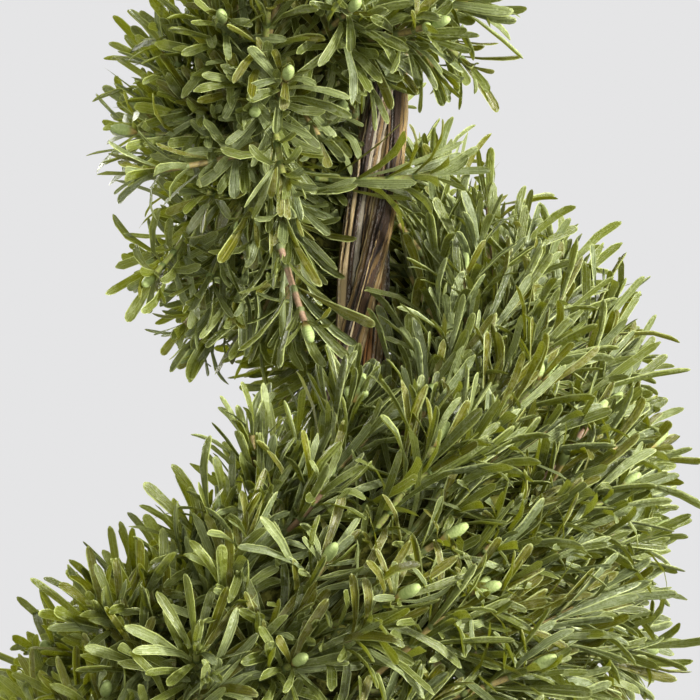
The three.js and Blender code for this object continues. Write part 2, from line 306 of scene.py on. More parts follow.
bm = bmesh.new()
bmesh.ops.create_circle(bm, cap_ends=True, radius=studio["floorRadius"], segments=96)
shader = newShader("paleFloor")
place = {0: shader.place()}
distance = shader.add("ShaderNodeVectorMath", place, "Value", operation="LENGTH")
far = shader.step(distance, *studio["floorFades"])
sockets = {
    "Base Color": shader.mix(far, studio["floor"], paint(0, 0, 0)),
    "Roughness": 0.9,
    "Specular IOR Level": 0.0,
    "Emission Color": shader.mix(far, studio["floorGlow"], studio["backdrop"]),
    "Emission Strength": 1.0,
}
mesh = meshOf(bm, "floor")
mesh.materials.append(shader.surface(sockets))
addObject("floor", mesh)

# each light's place, size, power and colour; all aim at the middle of the view
lights = {
    "key": ((1.4, -1.25, 1.1), 0.5, 103, (1.0, 0.985, 0.99)),
    "fill": ((0.3, -1.8, 0.8), 0.3, 12, (1.0, 0.99, 0.97)),
    "side": ((-0.9, -1.2, 1.3), 0.5, 6, (0.98, 0.99, 1.0)),
    "back": ((0.9, 1.5, 1.7), 0.9, 11, (1.0, 0.99, 0.97)),
    "glow": ((-1.3, 1.1, 1.3), 0.9, 44, (1.0, 0.99, 0.96)),
    "top": ((0.1, 0.7, 2.3), 0.4, 17, (1.0, 1.0, 1.0)),
}
aim = Vector((0, 0, band["level"] - studio["below"]))
for name, (place, size, power, colour) in lights.items():
    data = bpy.data.lights.new(name, "AREA")
    data.shape = "DISK"
    data.size = size
    data.energy = power
    data.color = colour
    light = addObject(name, data)
    light.location = place
    light.rotation_euler = (Vector(place) - aim).to_track_quat("Z", "Y").to_euler()
bpy.context.scene.view_settings.view_transform = "Standard"
print("studio ready")


# the trunk: three twisted stems with bark in raised strips

trunk = {
    "stems": 3,
    "footRadius": 0.0086,  # of one stem, above its flare
    "topRadius": 0.003,
    "flare": 0.3,
    "flareHeight": 0.032,
    "lay": 0.3,  # height of one full twist
    "sway": 0.75,  # sideways swing, as a share of the trunk's radius
    "swayLength": 0.551,
    "slack": 0.00015,  # added to the stems' distance for their flat faces
    "chordLoss": 0.9711,  # loss of that distance, because a stem leans
    "clearance": 0.0003,
    "foot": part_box("trunk_stem_1")[0].z,
    "top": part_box("trunk_stem_1")[1].z,
    "around": 84,  # faces round a stem
    "along": 560,  # and along it
    "strips": 12,  # bark strips round a stem
    "stripsPerMetre": 9,
    "overlap": 3.1,  # how far, in strip lengths, neighbours may end apart
    "drift": 0.8,  # slow swing of the strips off their line, in radians
    "wander": 0.5,  # and the uneven one
    "groove": 0.24,  # depth between strips, as a share of the stem's radius
    "endDepth": 0.6,  # share of that depth at a strip's ends
    "fissureDepth": 1.2,  # and in the fissures
    "proud": 0.2,  # how much further than its neighbours a strip may stand
    "crackle": 0.08,  # small rough relief
}


def stemRadius(height):
    share = min(max((height - trunk["foot"]) / (trunk["top"] - trunk["foot"]), 0.0), 1.0)
    flare = 1 + trunk["flare"] * exp((trunk["foot"] - height) / trunk["flareHeight"])
    return lerp(trunk["footRadius"], trunk["topRadius"], share) * flare


def stemOrbit(height):
    apart = 2 * stemRadius(height) + trunk["clearance"]
    return apart / sqrt(3) / trunk["chordLoss"] + trunk["slack"]


def trunkRadius(height):
    return stemOrbit(height) + stemRadius(height)


def sway(height):
    swing = sin(turn * (height - trunk["foot"]) / trunk["swayLength"])
    return trunk["sway"] * trunkRadius(height) * swing


def noiseAt(*place):
    return noise.noise(Vector(place))


# bark at an angle and height: how far it stands out, its strip's tone and its grooves; factors
# of stem and index only make them differ
def barkAt(stem, angle, height):
    along = height * trunk["stripsPerMetre"]
    drift = trunk["drift"] * noiseAt(along, stem * 7.3, 0.4)
    x, y = cos(angle) * 1.5, sin(angle) * 1.5
    wander = trunk["wander"] * noiseAt(x, y, height * 22 + stem * 5)
    cell = ((angle + drift + wander) / turn % 1.0) * trunk["strips"]
    index = floor(cell)
    across = abs(2 * (cell - index) - 1)  # 0 in the middle of a strip, 1 in its groove
    run = along + trunk["overlap"] * noiseAt(index * 3.7, stem * 2.9, 1.5) + 0.5 * across
    strip = floor(run)
    tone = 0.5 + 0.5 * noise.cell(Vector((index + 0.5, stem * 11 + 0.5, strip + 0.5)))
    ends = smooth(abs(2 * (run - strip) - 1), 0.88, 1.0)
    rise = noiseAt(index * 5.1 + stem, strip * 2.3, along)
    crackle = noiseAt(angle * 5, height * 240, stem * 3.0)
    fissure = max(0.0, noiseAt(angle * 6, height * 28, stem * 3.0) - 0.25)
    groove = across**3
    depth = groove + trunk["endDepth"] * ends + trunk["fissureDepth"] * fissure
    out = 1 + trunk["proud"] * rise - trunk["groove"] * depth + trunk["crackle"] * crackle
    return out, tone, max(groove, ends) + fissure


def stemMesh(stem):
    bm = bmesh.new()
    grain = bm.verts.layers.float_vector.new("grain")
    strip = bm.verts.layers.float_vector.new("strip")
    bmesh.ops.create_grid(bm, x_segments=trunk["around"], y_segments=trunk["along"], size=0.5)
    for vert in bm.verts:
        angle = turn * (vert.co.x + 0.5)
        height = lerp(trunk["foot"], trunk["top"], vert.co.y + 0.5)
        out, tone, groove = barkAt(stem, angle, height)
        radius = stemRadius(height) * out
        around = turn * (stem / trunk["stems"] + (height - trunk["foot"]) / trunk["lay"])
        orbit = stemOrbit(height)
        x = radius * cos(angle) + orbit * cos(around) + sway(height)
        y = radius * sin(angle) + orbit * sin(around)
        vert.co = (x, y, height)
        vert[grain] = (cos(angle), sin(angle), height * 6 + stem * 4)
        vert[strip] = (tone, groove, height)
    close(bm)
    return meshOf(bm, f"trunkStem{stem + 1}")


# strips of bark: the tones from 0 to 1 run through the given colours
def barkMaterial(name, stops, greyGlintShare):
    shader = newShader(name)
    grain = shader.add("ShaderNodeAttribute", out="Vector", attribute_name="grain")
    strip = shader.add("ShaderNodeAttribute", out="Vector", attribute_name="strip")
    tone = shader.part("X", strip)
    groove = shader.part("Y", strip)
    fibres = shader.noise(shader.stretched(grain, (9, 9, 1.6)), 2.4, 4, 0.65)
    hairs = shader.noise(shader.stretched(grain, (30, 30, 4)), 2.4, 3, 0.7)
    crackle = shader.noise(shader.stretched(grain, (3.5, 3.5, 40)), 2.4, 3, 0.7)
    blotches = shader.noise(shader.stretched(grain, (1.6, 1.6, 2.4)), 1.7, 2)
    mixed = tone * 0.74 + fibres * 0.36 + hairs * 0.3 - 0.19
    colour = shader.add("ShaderNodeValToRGB", {0: mixed})
    ramp = colour.socket.node.color_ramp.elements
    while len(ramp) < len(stops):
        ramp.new(0.5)
    for element, (position, shade) in zip(ramp, stops):
        element.position = position
        element.color = shade
    # grey crackled patches: partly the bark's own grey, partly painted silvery glint
    grey = shader.step(blotches, 0.5, 0.62) * shader.step(crackle, 0.46, 0.56) * greyGlintShare
    colour = shader.mix(grey, colour, paint(196, 192, 184))
    # near-black grooves and fissures: partly the dark bark inside them, partly painted shade in the
    # recesses
    colour = shader.mix(shader.step(groove, 0.3, 0.8) * 0.94, colour, paint(20, 13, 11))
    sockets = {
        "Base Color": colour,
        "Roughness": 0.3 + 0.5 * fibres,
        "Specular IOR Level": 0.4,
        "Normal": shader.bump(fibres + 1.2 * crackle, 0.9, 0.0015),
    }
    return shader.surface(sockets)


# a rough material with a grain (scale, detail, roughness) between two colours
def grainMaterial(name, grain, steps, dark, light, rough, relief, shine=0.5):
    shader = newShader(name)
    grain = shader.noise(shader.place(), *grain)
    sockets = {
        "Base Color": shader.mix(shader.step(grain, *steps), paint(*dark), paint(*light)),
        "Roughness": rough,
        "Specular IOR Level": shine,
        "Normal": shader.bump(grain, *relief),
    }
    return shader.surface(sockets)


# each bark's tones from the middle up, over the same dark ones, and its share of grey patches, partly
# grey bark and partly painted glint
darkStops = [(0.1, (34, 24, 17)), (0.44, (84, 62, 42))]
barks = {
    "barkGold": ((0.53, (134, 106, 64)), (0.64, (178, 150, 94)), (0.84, (214, 190, 142)), 0.35),
    "barkSilver": ((0.56, (122, 98, 68)), (0.7, (170, 144, 104)), (0.86, (184, 116, 54)), 0.8),
    "barkPale": ((0.51, (148, 120, 76)), (0.64, (198, 172, 122)), (0.84, (166, 156, 134)), 0.4),
}
for stem, (name, (*lightStops, greyGlintShare)) in enumerate(barks.items()):
    node = f"trunk_stem_{stem + 1}"
    stops = [(place, paint(*colour)) for place, colour in darkStops + lightStops]
    bark = barkMaterial(name, stops, greyGlintShare)
    addPiece(f"bark_stem_{stem + 1}", stemMesh(stem), bark, "bark", node)
print("trunk ready")


# the winding band: the same rule as the solids

# height, reach and half thickness of the band after a number of turns from its level
def bandAt(turns):
    climb = band["pitch"]
    if turns < 0:
        rise = climb * turns * (1 - band["widen"] / 2 * turns)
        full = band["midReach"] - band["taper"] * rise
    else:
        rise = climb / band["tighten"] * (1 - exp(-band["tighten"] * turns))
        full = band["midReach"] - band["topTaper"] * rise
    along = smooth(min(turns - band["first"], band["last"] - turns), 0, band["easeTurns"])
    ease = lerp(band["easeShare"], 1, along)
    half = band["midHalf"] * (full / band["midReach"]) ** band["halfPower"] * ease
    return band["level"] + rise, full * ease, half


# fall of the section at a distance from the axis
def fallAt(reach, radius):
    return band["droop"] * (reach / 2 - radius)


def direction(turns):
    return band["phase"] + turn * turns


# a point of the section's outline, as distance from the axis and height: 0 is at the rim
def outlinePoint(turns, angle, inset=0.0):
    height, fullReach, fullHalf = bandAt(turns)
    inner = trunkRadius(height) + abs(sway(height))
    reach = max(fullReach - inset, inner + band["leastDepth"])
    half = max(fullHalf - inset, band["leastHalf"])
    hub = max(band["hub"] * fullReach, inner + band["hubGap"])
    power = 2 / band["roundness"]
    radius = hub + max(reach - hub, band["hubGap"]) * abs(cos(angle)) ** power
    offset = half * copysign(abs(sin(angle)) ** power, sin(angle))
    return radius, height + offset + fallAt(fullReach, radius)


def outwards(turns):
    return Vector((cos(direction(turns)), sin(direction(turns)), 0))


def onwards(turns):
    return Vector((-sin(direction(turns)), cos(direction(turns)), 0))


def aroundAxis(turns, radius, height):
    return Vector((radius * cos(direction(turns)), radius * sin(direction(turns)), height))


# the dark heart of the band, behind the leaves: a sheet of painted shade for the band's shaded inside

heart = {
    "inset": 0.043,  # how far it lies under the band's outline
    "insetShare": 0.45,  # or this share of the reach, where that is less
    "around": 18,  # faces round the section
    "along": 190,  # and along the band
    "backShare": 0.3,  # length of its wall along the trunk, over the outline's
    "endGap": 0.02,  # turns left free at each end
    "rough": 0.006,
    "lumps": 60,  # to a metre
}
noise.seed_set(1)  # noise_vector's offsets follow from it


def heartMesh():
    bm = bmesh.new()
    bmesh.ops.create_grid(bm, x_segments=heart["around"], y_segments=heart["along"], size=0.5)
    for vert in bm.verts:
        turns = lerp(band["first"] + heart["endGap"], band["last"] - heart["endGap"], vert.co.y + 0.5)
        share = (vert.co.x + 0.5) * (1 + heart["backShare"])
        reach = bandAt(turns)[1]
        inset = min(heart["inset"], heart["insetShare"] * reach)
        angle = pi * (0.5 - min(share, 1.0))
        radius, height = outlinePoint(turns, angle, inset)
        if share > 1:
            top = outlinePoint(turns, pi / 2, inset)[1]
            height = lerp(height, top, (share - 1) / heart["backShare"])
        place = aroundAxis(turns, radius, height)
        rough = heart["rough"] * min(1.0, reach / 0.1)
        vert.co = place + rough * noise.noise_vector(place * heart["lumps"])
    close(bm)
    return meshOf(bm, "heart")


# the heart's dark colours are painted shade
shades = ((48, 48, 18), (98, 98, 42))
shade = grainMaterial("heartShade", (190, 4, 0.6), (0.42, 0.6), *shades, 0.9, (0.8, 0.003), 0.1)
foliageNodes = [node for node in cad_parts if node.startswith("foliage")]
addPiece("foliage_heart", heartMesh(), shade, "leaf", *foliageNodes)
print("heart ready")


# leaf, stem and bud shapes, each one unit long from its root along +Y, face up

leaf = {
    "slimness": 14,  # length over half width
    "foot": 0.36,  # width of the foot, as a share of the full one
    "widest": 0.7,  # share of the length at which the leaf is full
    "tip": 0.88,  # and at which its round tip starts
    "tipLength": 0.1225,
    "ridge": 0.4,  # height of rim and rib, in parts of the relief
    "groove": 1.1,  # depth of the grooves under them
    "relief": 0.4,  # for a half width of 1
    "fine": [0.0, 0.34, 0.7, 0.9, 0.97, 1.0],  # rows of faces along a leaf end here
    "plain": [0.0, 0.32, 0.64, 0.92, 1.0],
    # bend back, lean to one side and twist of each kind, and how far its rim and rib stand up
    "kinds": [
        (0.3, 0.0, 0.1, 1.0),
        (0.6, 0.14, -0.3, 1.2),
        (1.0, -0.16, 0.25, 0.9),
        (-0.5, 0.18, 0.35, 1.3),
        (-0.9, -0.24, -0.6, 0.8),
        (0.8, 0.3, 0.5, 1.1),
        (1.5, 0.08, -0.2, 1.0),
        (0.1, -0.14, 0.8, -0.8),
    ],
    "plainKinds": 4,  # the first of them are also made plain
}


# half width along a leaf: a narrow foot, widest past the middle, a blunt round tip
def leafWidth(along):
    blade = lerp(leaf["foot"], 1.0, smooth(along, 0.0, leaf["widest"]))
    tip = sqrt(1 - (max(along - leaf["tip"], 0.0) / leaf["tipLength"]) ** 2)
    return blade * tip


def leafShape(stations, columns, bend, lean, twist, rim):
    def stationAt(y):
        return stations[round((y + 0.5) * rows)]

    bm = bmesh.new()
    rows = len(stations) - 1
    bmesh.ops.create_grid(bm, x_segments=columns, y_segments=rows, size=0.5)
    mapShape(bm, lambda place: (place.x + 0.5, stationAt(place.y)))
    for vert in bm.verts:
        across = 2 * vert.co.x
        along = stationAt(vert.co.y)
        wide = leafWidth(along)
        deep = 1 - abs(2 * abs(across) - 1)  # 1 in the grooves, 0 on rib and rim
        rise = rim * (leaf["ridge"] - leaf["groove"] * deep) * min(1.0, 3 * along) * leaf["relief"]
        roll = twist * along
        x = wide * (across * cos(roll) - rise * sin(roll))
        z = wide * (across * sin(roll) + rise * cos(roll))
        x += leaf["slimness"] * lean * along * along / 2
        back = (1 - cos(bend * along)) / bend
        vert.co = (x, sin(bend * along) / bend, z / leaf["slimness"] - back)
    return Shape(bm)


# a piece of sprig stem, swollen at the root where the leaves sit
def stemShape():
    def ringAt(y):
        return profile[round((y + 0.5) * rings)]

    bm = bmesh.new()
    profile = [(0.0, 1.0), (0.1, 1.4), (0.3, 1.0), (1.0, 0.95)]
    sides, rings = 5, len(profile) - 1
    bmesh.ops.create_grid(bm, x_segments=sides, y_segments=rings, size=0.5)
    mapShape(bm, lambda place: (place.x + 0.5, ringAt(place.y)[0]))
    for vert in bm.verts:
        angle = turn * (vert.co.x + 0.5)
        along, radius = ringAt(vert.co.y)
        vert.co = (radius * cos(angle), along, -radius * sin(angle))
    bmesh.ops.remove_doubles(bm, verts=bm.verts, dist=1e-5)
    return Shape(bm)


# a blunt closed bud with a waist where its scales end
def budShape():
    def spotAt(place):
        angle = atan2(place.z, place.x)
        return 0.5 + 0.45 * sin(angle / 2), place.y

    bm = bmesh.new()
    bmesh.ops.create_cube(bm, size=2)
    bmesh.ops.subdivide_edges(bm, edges=bm.edges, cuts=2, use_grid_fill=True)
    for vert in bm.verts:
        ball = vert.co.normalized()
        along = 0.5 + 0.5 * ball.y
        girth = lerp(0.62, 1.0, smooth(along, 0.2, 0.5))
        vert.co = (ball.x * girth, along, ball.z * girth)
    mapShape(bm, spotAt)
    return Shape(bm)


fineLeaves = [leafShape(leaf["fine"], 4, *kind) for kind in leaf["kinds"]]
plainLeaves = [leafShape(leaf["plain"], 2, *kind) for kind in leaf["kinds"][: leaf["plainKinds"]]]
stemPiece = stemShape()
budPiece = budShape()


# sprigs

# pairs are for the lower turns and the upper ones, unless a note says otherwise
sprig = {
    "upperFrom": (-0.5, -0.1),  # turns where the lower ones pass into the upper ones
    "openTo": (0.6, 1.1),  # and where the open turn ends
    "spacing": (0.0258, 0.019),  # the second on the thin turns at the top
    "thinFrom": (0.7, 1.6),
    "jitter": 0.3,
    "stagger": 0.25,  # shift of every other row, each way, as a share of the spacing
    "shake": 0.1,  # up or down the section, in radians
    "steepest": 1.56,  # angle in the section, up or down
    "hangsUnder": -0.3,  # angle under which a sprig is seen from below
    "length": (0.060, 0.078),  # from and to
    "reachShare": 0.72,  # a sprig is no longer than this share of the reach
    "deepest": (0.028, 0.023),  # how far under the smooth outline a sprig ends
    "highest": (-0.001, -0.006),  # and the few that end highest
    "corner": -0.006,  # how much deeper on the rounding between top and rim
    "rim": (0.005, -0.005),  # and in the middle of the rim
    "crest": (0.030, 0.013),  # and on the top towards -X
    # and on the upper turns, for the angles in the first row: they fall back under their rim
    "west": ((-1.5, -0.7, -0.4, -0.15, 0.05, 0.3, 0.7), (-0.028, -0.008, 0.018, 0.032, 0.012, 0.008, 0)),
    "east": ((-1.57, 0), (0.020, 0)),
    "lean": (0.014, 0.066),  # less radius towards +X, in general and half a turn above level
    # more radius towards +X on the lower turns, which have a fuller shoulder there
    "shoulder": ((-1.5, -0.6, 0.5, 0.8, 1.05, 1.5), (0.018, 0.004, -0.005, 0, 0.008, 0.026)),
    "probe": 0.04,  # step in angle to feel the outline's slope
    "middle": (0.28, -0.2),  # point that sprigs lead away from, in shares of reach and half
    "fromMiddle": 0.55,  # how far they do so
    "forward": (0.9, 0.5),  # how far a sprig points along the band
    "lift": (0.5, 0.18),  # and up
    "topLift": 0.65,  # more of it on the upper turns' top
    "spread": 0.22,
    "gaps": (0.08, 0.24),  # share of sprigs left out, in general and on the open turn
    "curve": 4.2,  # upward bend per metre
    "budShare": 0.32,
    "budLength": (0.011, 0.017),  # from and to
    "budRadius": 0.0026,
    "budSunk": 0.001,
    "budPairs": 0.3,  # share of buds with two smaller ones beside them
    "pairAngle": 0.6,
    "pairSpread": 0.2,
    "smallBud": 0.85,
    "stemRadius": 0.0015,
    "stemOverlap": 1.05,
    "leafRoot": 0.6,  # place of a leaf's root in the stem, as a share of its radius
    "leafHalfWidth": (0.0017, 0.0025),  # from and to
    "slim": (0.86, 1.0),  # share of that width
    "vigour": ((0.94, 1.26), (0.74, 1.16)),  # share of the full leaf length, from and to
    "narrow": (0.74, 1.0),  # angle of the leaves, as a share
    "budNarrow": 1.1,  # and under a bud
    "closed": 0.55,  # and in the first ring where no bud is
    "ringShake": (0.85, 1.15),  # of the distances between rings, from and to
    "ringTurn": (0.35, 0.75),  # of a ring against the one above, in radians
    "leafShake": 0.35,  # of a leaf's place in its ring
    "roll": 0.4,
    "sameTone": 0.55,  # share of leaves in the sprig's tone
    "backSeen": (-0.2, 0.1),  # how far a leaf has to look down, or up when seen from below
    "olive": 0.45,  # share of those leaves that are olive
}

# rings of leaves from a sprig's tip down: step from the last, counts, leaf lengths and angles
whorls = [
    (0.000, (4, 6), (0.011, 0.023), (0.35, 0.95)),
    (0.008, (5, 7), (0.025, 0.036), (0.3, 0.75)),
    (0.012, (5, 7), (0.030, 0.043), (0.28, 0.64)),
    (0.013, (5, 6), (0.030, 0.044), (0.32, 0.66)),
    (0.014, (4, 6), (0.030, 0.043), (0.4, 0.72)),
    (0.014, (4, 5), (0.028, 0.038), (0.5, 0.8)),
]
fineWhorls = 3  # the first of them have fine leaves

# leaf tones and the share of the sprigs that takes each
tones = {
    "sage": (paint(136, 147, 90), 0.17),
    "green": (paint(111, 121, 52), 0.22),
    "moss": (paint(100, 109, 42), 0.17),
    "deep": (paint(85, 94, 36), 0.18),
    "olive": (paint(104, 103, 18), 0.06),
    "grey": (paint(117, 128, 80), 0.2),
}
stemTones = {
    "tan": (paint(142, 128, 74), 0.42),
    "lime": (paint(128, 138, 66), 0.54),
    "rose": (paint(138, 112, 88), 0.04),
}

draw = np.random.default_rng(1434)


def between(pair):
    return draw.uniform(*pair)


def shaken(most):
    return draw.uniform(-most, most)


def shakenVector(most):
    return Vector(draw.uniform(-1, 1, 3)) * most


def pickTone(table):
    return draw.choice(list(table), p=[share for _, share in table.values()])


leafPiles = {tone: Pile() for tone in tones}
stemPiles = {tone: Pile() for tone in stemTones}
budPile = Pile()


# a copy's matrix from its root, its direction, the way its face looks and its sizes
def placed(root, along, face, halfWidth, length, thick=None):
    side = along.cross(face).normalized()
    face = side.cross(along).normalized()
    depth = halfWidth if thick is None else thick
    columns = [side * halfWidth, along * length, face * depth, root]
    return np.array(columns).T


def insideTrunk(place):
    return hypot(place.x - sway(place.z), place.y) < trunkRadius(place.z) + 0.001


# upper is 0 on the lower turns and 1 on the upper ones; hangs says that it is seen from below
def growSprig(tip, heading, length, upper=1.0, hangs=False, leafShare=1.0, stemTone=None):
    heading = heading.normalized()
    side = heading.orthogonal().normalized()
    leafTone = pickTone(tones)
    stemTone = stemTone or pickTone(stemTones)
    hasBud = draw.random() < sprig["budShare"]
    narrow = sprig["budNarrow"] if hasBud else lerp(*sprig["narrow"], upper)
    vigour = lerp(between(sprig["vigour"][0]), between(sprig["vigour"][1]), upper)

    def pointAt(back):
        return tip - heading * back + up * (sprig["curve"] * back * back / 2)

    def axisAt(back):
        return (heading - up * (sprig["curve"] * back)).normalized()

    back = 0.0
    phase = draw.uniform(0, turn)
    nodes = []
    for row, (step, (fewest, most), lengths, angles) in enumerate(whorls):
        back += step * between(sprig["ringShake"])
        if back > length:
            break
        nodes.append(back)
        axis = axisAt(back)
        count = round(draw.integers(fewest, most + 1) * leafShare)
        phase += between(sprig["ringTurn"])
        shapes = fineLeaves if row < fineWhorls else plainLeaves
        for k in range(count):
            around = phase + turn * (k + shaken(sprig["leafShake"])) / count
            out = Matrix.Rotation(around, 3, axis) @ (side - axis * side.dot(axis)).normalized()
            tilt = between(angles) * narrow
            if row == 0 and not hasBud:
                tilt *= sprig["closed"]
            along = axis * cos(tilt) + out * sin(tilt)
            face = axis * sin(tilt) - out * cos(tilt)
            face = Matrix.Rotation(draw.uniform(-1, 1) * sprig["roll"], 3, along) @ face
            leafLength = between(lengths) * vigour
            halfWidth = between(sprig["leafHalfWidth"]) * lerp(*sprig["slim"], upper)
            root = pointAt(back) + out * sprig["stemRadius"] * sprig["leafRoot"]
            if any(insideTrunk(root + along * leafLength * share) for share in (1, 0.5)):
                continue
            tone = leafTone if draw.random() < sprig["sameTone"] else pickTone(tones)
            low, high = sprig["backSeen"]
            showsBack = face.z > high if hangs else face.z < low
            if showsBack and draw.random() < sprig["olive"]:
                tone = "olive"
            shape = shapes[draw.integers(len(shapes))]
            leafPiles[tone].add(shape, placed(root, along, face, halfWidth, leafLength, leafLength))
    if hasBud:
        root = tip - heading * sprig["budSunk"]
        wide, small = sprig["budRadius"], sprig["smallBud"]
        budPile.add(budPiece, placed(root, heading, side, wide, between(sprig["budLength"])))
        for sense in (-1, 1) if draw.random() < sprig["budPairs"] else ():
            along = heading + side * sense * sprig["pairAngle"] + shakenVector(sprig["pairSpread"])
            smallLength = sprig["budLength"][0] * small
            budPile.add(budPiece, placed(root, along.normalized(), up, wide * small, smallLength))
    for low, high in zip(nodes[1:] + [length], nodes):
        if low > high:
            root = pointAt(low)
            along = pointAt(high) - root
            long = along.length * sprig["stemOverlap"]
            matrix = placed(root, along.normalized(), side, sprig["stemRadius"], long)
            stemPiles[stemTone].add(stemPiece, matrix)


# 0 on the wide lower turns, 1 on the upper ones
def upperShare(turns):
    return smooth(turns, *sprig["upperFrom"])


# how open the band is: 1 on the turn over level only
def openShare(turns):
    return upperShare(turns) * (1 - smooth(turns, *sprig["openTo"]))


# direction of a sprig: away from the band, forward along it and up
def headingAt(turns, angle):
    height, reach, half = bandAt(turns)
    radius, level = outlinePoint(turns, angle)
    lowRadius, lowLevel = outlinePoint(turns, angle - sprig["probe"])
    highRadius, highLevel = outlinePoint(turns, angle + sprig["probe"])
    out = Vector((highLevel - lowLevel, lowRadius - highRadius)).normalized()
    middleOut, middleUp = sprig["middle"]
    rise = level - height - middleUp * half - fallAt(reach, radius)
    away = Vector((radius - middleOut * reach, rise)).normalized()
    flat = out.lerp(away, sprig["fromMiddle"])
    around = direction(turns)
    lift = lerp(*sprig["lift"], upperShare(turns))
    lift += sprig["topLift"] * smooth(sin(angle), 0.0, 0.6) * upperShare(turns)
    forward = lerp(*sprig["forward"], upperShare(turns))
    heading = Vector((flat.x * cos(around), flat.x * sin(around), flat.y + lift))
    heading += forward * onwards(turns)
    return heading.normalized() + shakenVector(sprig["spread"])


# where a sprig ends, by its place on the band
def tipAt(turns, angle, heading):
    upper = upperShare(turns)
    size = min(1.0, bandAt(turns)[1] / band["midReach"])
    side = cos(direction(turns))
    east, west = max(0.0, side), max(0.0, -side)  # towards +X and -X
    deepest, highest = lerp(*sprig["deepest"], upper), lerp(*sprig["highest"], upper)
    under = lerp(deepest, highest, draw.random() ** 2)
    under += sprig["corner"] * sin(2 * angle) ** 2
    under += lerp(*sprig["rim"], upper) * cos(angle) ** 2
    under += lerp(*sprig["crest"], upper) * west**3 * max(0.0, sin(angle))
    tuck = west * np.interp(angle, *sprig["west"])
    under += (tuck + east * np.interp(angle, *sprig["east"])) * upper
    radius, level = outlinePoint(turns, angle)
    lean = lerp(*sprig["lean"], max(0.0, 1 - abs(turns - 0.5))) * size
    radius -= lean * east * cos(angle)
    radius += east**2 * np.interp(angle, *sprig["shoulder"]) * (1 - upper)
    return aroundAxis(turns, radius, level) - heading.normalized() * (under * size)


# the trunk stands free in front, where y is less, between these heights
window = {"low": 0.648, "high": 0.755, "half": 0.018, "front": -0.008}


def coversTrunk(place):
    isInFront = window["low"] < place.z < window["high"] and place.y < window["front"]
    return isInFront and abs(place.x - sway(place.z)) < window["half"]


# sprigs over one mass, in rows that run with the band
def growMass(start, end):
    mid = (start + end) / 2
    angles = np.linspace(pi / 2, -pi / 2, 49)
    line = np.array([outlinePoint(mid, angle) for angle in angles])
    walked = np.concatenate([[0], np.cumsum(np.hypot(*np.diff(line, axis=0).T))])
    spacing = lerp(*sprig["spacing"], smooth(mid, *sprig["thinFrom"]))
    rows = max(3, round(walked[-1] / spacing))
    for row in range(rows):
        rowAngle = np.interp(walked[-1] * (row + 0.5) / rows, walked, angles)
        radius = outlinePoint(mid, rowAngle)[0]
        columns = max(1, round(radius * turn * (end - start) / spacing))
        stagger = sprig["stagger"] if row % 2 else -sprig["stagger"]
        for column in range(columns):
            share = (column + 0.5 + stagger + draw.uniform(-1, 1) * sprig["jitter"]) / columns
            turns = min(max(lerp(start, end, share), band["first"]), band["last"])
            if draw.random() < lerp(*sprig["gaps"], openShare(turns)):
                continue
            angle = rowAngle + shaken(sprig["shake"])
            angle = min(max(angle, -sprig["steepest"]), sprig["steepest"])
            heading = headingAt(turns, angle)
            tip = tipAt(turns, angle, heading)
            if coversTrunk(tip):
                continue
            length = min(between(sprig["length"]), sprig["reachShare"] * bandAt(turns)[1])
            growSprig(tip, heading, length, upperShare(turns), hangs=angle < sprig["hangsUnder"])


# sprigs on the band's inner side, that reach along the trunk
inner = {
    "offsets": (-0.45, 0.0, 0.45),  # up and down, in shares of the half thickness
    "columns": 3,
    "place": (0.2, 0.8),  # in the column, from and to
    "gap": 0.006,
    "inward": 0.25,
    "lift": 0.7,
    "liftShake": 0.3,
    "forward": 0.6,
    "length": 0.042,
    "reachShare": 0.5,
}


def growInside(start, end):
    for offset in inner["offsets"]:
        for column in range(inner["columns"]):
            turns = lerp(start, end, (column + between(inner["place"])) / inner["columns"])
            height, reach, half = bandAt(turns)
            radius = trunkRadius(height) + inner["gap"]
            rise = inner["lift"] + shaken(inner["liftShake"])
            heading = -outwards(turns) * inner["inward"] + up * rise
            heading += onwards(turns) * inner["forward"]
            tip = aroundAxis(turns, radius, height + half * offset + fallAt(reach, radius))
            growSprig(tip, heading, min(inner["length"], inner["reachShare"] * reach))


# sprigs that close one end of the band
ends = {"gap": 0.01, "halfShare": 0.8, "inward": 0.3, "fan": 0.7, "spread": 0.2}


def growEnd(turns, sense):
    height, reach, half = bandAt(turns)
    spacing = sprig["spacing"][0]
    rows = max(2, round(2 * half / spacing))
    columns = max(1, round((reach - trunkRadius(height)) / spacing))
    for row in range(rows):
        for column in range(columns):
            radius = lerp(trunkRadius(height) + ends["gap"], reach, (column + 0.5) / columns)
            offset = half * ends["halfShare"] * (2 * (row + 0.5) / rows - 1)
            place = aroundAxis(turns, radius, height + offset + fallAt(reach, radius))
            heading = onwards(turns) * sense + outwards(turns) * (radius / reach - ends["inward"])
            heading += up * (offset / half * ends["fan"]) + shakenVector(ends["spread"])
            tip = place + heading.normalized() * sprig["deepest"][0]
            growSprig(tip, heading, sprig["length"][0])


# the tuft over the trunk's end, in rings of sprigs: angle from upright and count
tuft = {
    "rings": [(0.0, 1), (0.42, 5), (0.85, 9), (1.3, 12), (1.75, 12), (2.15, 8)],
    "middle": 0.020,  # height of its middle
    "reach": 0.030,
    "rise": 0.028,  # more of it straight up
    "length": 0.034,
    "shake": 0.2,  # of a sprig's place in its ring
    "spread": 0.15,
}


def growTuft():
    middle = Vector((sway(trunk["top"]), 0, trunk["top"] + tuft["middle"]))
    for tilt, count in tuft["rings"]:
        for k in range(count):
            around = turn * (k + shaken(tuft["shake"])) / count
            x, y = sin(tilt) * cos(around), sin(tilt) * sin(around)
            heading = Vector((x, y, cos(tilt))) + shakenVector(tuft["spread"])
            rise = up * (tuft["rise"] * max(cos(tilt), 0))
            growSprig(middle + heading.normalized() * tuft["reach"] + rise, heading, tuft["length"])


